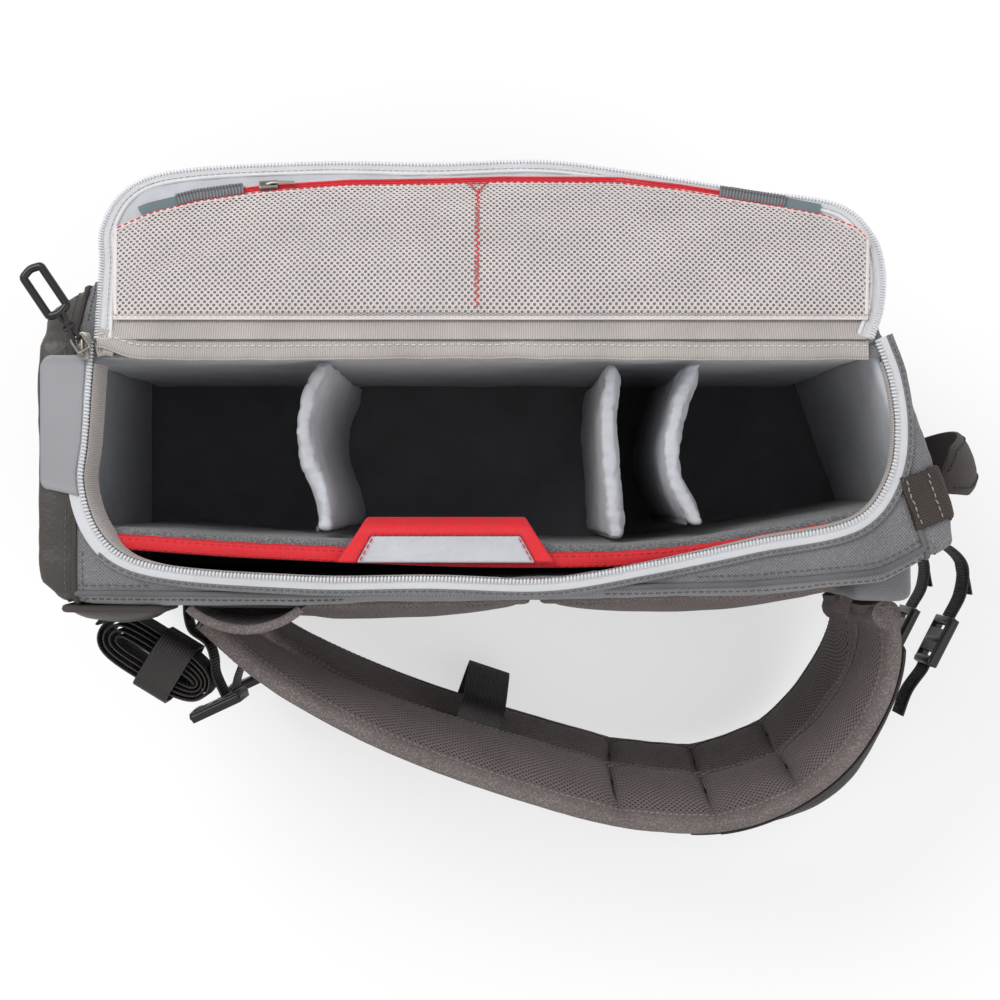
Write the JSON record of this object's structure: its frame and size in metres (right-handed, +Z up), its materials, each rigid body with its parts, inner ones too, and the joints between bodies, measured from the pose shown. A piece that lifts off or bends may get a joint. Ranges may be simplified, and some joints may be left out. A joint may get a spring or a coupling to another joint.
{
  "type": "camera backpack",
  "caption": "Camera backpack lying on its side with a zipped side flap open, padded dividers, shoulder straps and a grab handle.",
  "frame": {"origin": "middle of the right side's resting face, on the surface that the bag lies on", "axes": "+X from the bag's base to its top, +Y from its back to its front, +Z up, from its right side to its left side"},
  "size_m": [0.4785, 0.3443, 0.2599],
  "materials": {
    "grey_twill": "matte woven",
    "dark_tarpaulin": "coated weave",
    "lining_foam": "brushed tricot over foam",
    "loop_fabric": "brushed loop",
    "hex_mesh": "knitted net",
    "red_tape": "woven tape",
    "black_mesh": "stretch mesh",
    "black_webbing": "ribbed webbing",
    "strap_mesh": "air mesh over foam",
    "beige_grosgrain": "ribbed tape",
    "zip_coil": "nylon coil",
    "grey_patch": "rubberised",
    "slider_metal": "gunmetal",
    "handle_webbing": "ribbed webbing",
    "buckle_plastic": "moulded acetal",
    "grey_grosgrain": "ribbed tape"
  },
  "bodies": {
    "bag": {"base_panel": "dark_tarpaulin", "top_panel": "grey_twill", "back_panel": "grey_twill", "front_panel": "grey_twill", "left_side_panel": "grey_twill", "back_rim_strip": "grey_twill", "back_rim_corner": "grey_twill", "right_side_panel": "grey_twill", "floor_pad": "lining_foam", "base_pad": "lining_foam", "top_pad": "lining_foam", "front_wall_pad": "lining_foam", "back_pad": "loop_fabric", "tablet_divider": "loop_fabric", "tablet_binding": "red_tape", "rim_zip": "zip_coil", "label_patch": "grey_patch", "hinge_binding": "beige_grosgrain", "upper_back_pad": "strap_mesh", "lumbar_pad": "strap_mesh", "yoke": "strap_mesh", "left_hip_wing": "dark_tarpaulin", "right_hip_wing": "dark_tarpaulin", "front_pocket": "grey_twill", "handle_foot_lower": "handle_webbing", "handle_foot_upper": "handle_webbing", "left_load_lifter": "black_webbing", "right_load_lifter": "black_webbing"},
    "flap": {"flap_zip": "zip_coil", "flap_panel": "grey_twill", "mesh_pocket": "hex_mesh", "pocket_zip": "red_tape", "first_pocket_tab": "grey_grosgrain", "second_pocket_tab": "grey_grosgrain"},
    "pocket_slider": {"pocket_slider": "slider_metal"},
    "main_slider": {"main_slider": "slider_metal"},
    "zip_pull": {"pull_cord": "black_webbing", "pull_ring": "buckle_plastic"},
    "divider_left": {"divider_left": "lining_foam"},
    "divider_middle": {"divider_middle": "lining_foam"},
    "divider_right": {"divider_right": "lining_foam"},
    "sleeve_tab": {"sleeve_tab": "lining_foam", "sleeve_tab_binding": "red_tape"},
    "grab_handle": {"grab_handle": "handle_webbing"},
    "left_strap": {"left_strap_pad": "strap_mesh", "strap_pocket": "black_mesh", "left_lifter_lock": "buckle_plastic", "left_lifter_link": "black_webbing", "left_adjuster_lock": "buckle_plastic", "left_strap_tab": "black_webbing", "left_adjuster_webbing": "black_webbing"},
    "right_strap": {"right_strap_pad": "strap_mesh", "right_lifter_lock": "buckle_plastic", "right_lifter_link": "black_webbing", "right_adjuster_lock": "buckle_plastic", "right_strap_tab": "black_webbing", "right_adjuster_webbing": "black_webbing"},
    "tail_roll": {"tail_roll": "black_webbing"},
    "roll_keeper": {"roll_keeper": "black_webbing"},
    "sternum_keeper": {"sternum_keeper": "black_webbing"}
  },
  "joints": [
    {"name": "flap_hinge", "type": "hinge", "parent": "bag", "child": "flap", "pos_m": [0, 0.076, 0.254], "axis": [1, 0, 0], "range_deg": [0, 212]},
    {"name": "pocket_slide", "type": "slide", "parent": "flap", "child": "pocket_slider", "axis": [0.9952, 0.0828, -0.0517], "range_m": [0, 0.04]},
    {"name": "main_zip_slide", "type": "slide", "parent": "bag", "child": "main_slider", "axis": [-0.0625, -0.998, 0], "range_m": [0, 0.046]},
    {"name": "zip_pull_turn", "type": "hinge", "parent": "main_slider", "child": "zip_pull", "pos_m": [-0.1975, 0.073, 0.258], "axis": [0, 0, 1], "range_deg": [0, 75]},
    {"name": "divider_left_slide", "type": "slide", "parent": "bag", "child": "divider_left", "axis": [1, 0, 0], "range_m": [-0.04, 0]},
    {"name": "divider_middle_slide", "type": "slide", "parent": "bag", "child": "divider_middle", "axis": [1, 0, 0], "range_m": [-0.012, 0.012]},
    {"name": "divider_right_slide", "type": "slide", "parent": "bag", "child": "divider_right", "axis": [1, 0, 0], "range_m": [-0.006, 0.026]},
    {"name": "sleeve_tab_hinge", "type": "hinge", "parent": "bag", "child": "sleeve_tab", "pos_m": [-0.026, -0.0185, 0.211], "axis": [-1, 0, 0], "range_deg": [0, 70]},
    {"name": "grab_handle_tilt", "type": "hinge", "parent": "bag", "child": "grab_handle", "pos_m": [0.2131, 0.0043, 0.125], "axis": [0, 0, 1], "range_deg": [-10, 10]},
    {"name": "left_strap_swing", "type": "hinge", "parent": "bag", "child": "left_strap", "pos_m": [-0.152, -0.059, 0.205], "axis": [-0.9994, -0.0174, 0.029], "range_deg": [0, 18]},
    {"name": "right_strap_swing", "type": "hinge", "parent": "bag", "child": "right_strap", "pos_m": [-0.152, -0.059, 0.075], "axis": [-0.9961, -0.0173, -0.0866], "range_deg": [0, 18]},
    {"name": "tail_roll_swing", "type": "hinge", "parent": "left_strap", "child": "tail_roll", "pos_m": [-0.157, -0.111, 0.18], "axis": [0, 0, 1], "range_deg": [0, 20]},
    {"name": "roll_keeper_slide", "type": "slide", "parent": "tail_roll", "child": "roll_keeper", "axis": [0.8526, -0.5225, 0], "range_m": [-0.004, 0.004]},
    {"name": "sternum_keeper_slide", "type": "slide", "parent": "right_strap", "child": "sternum_keeper", "axis": [0.9399, -0.338, -0.048], "range_m": [-0.008, 0.008]}
  ]
}
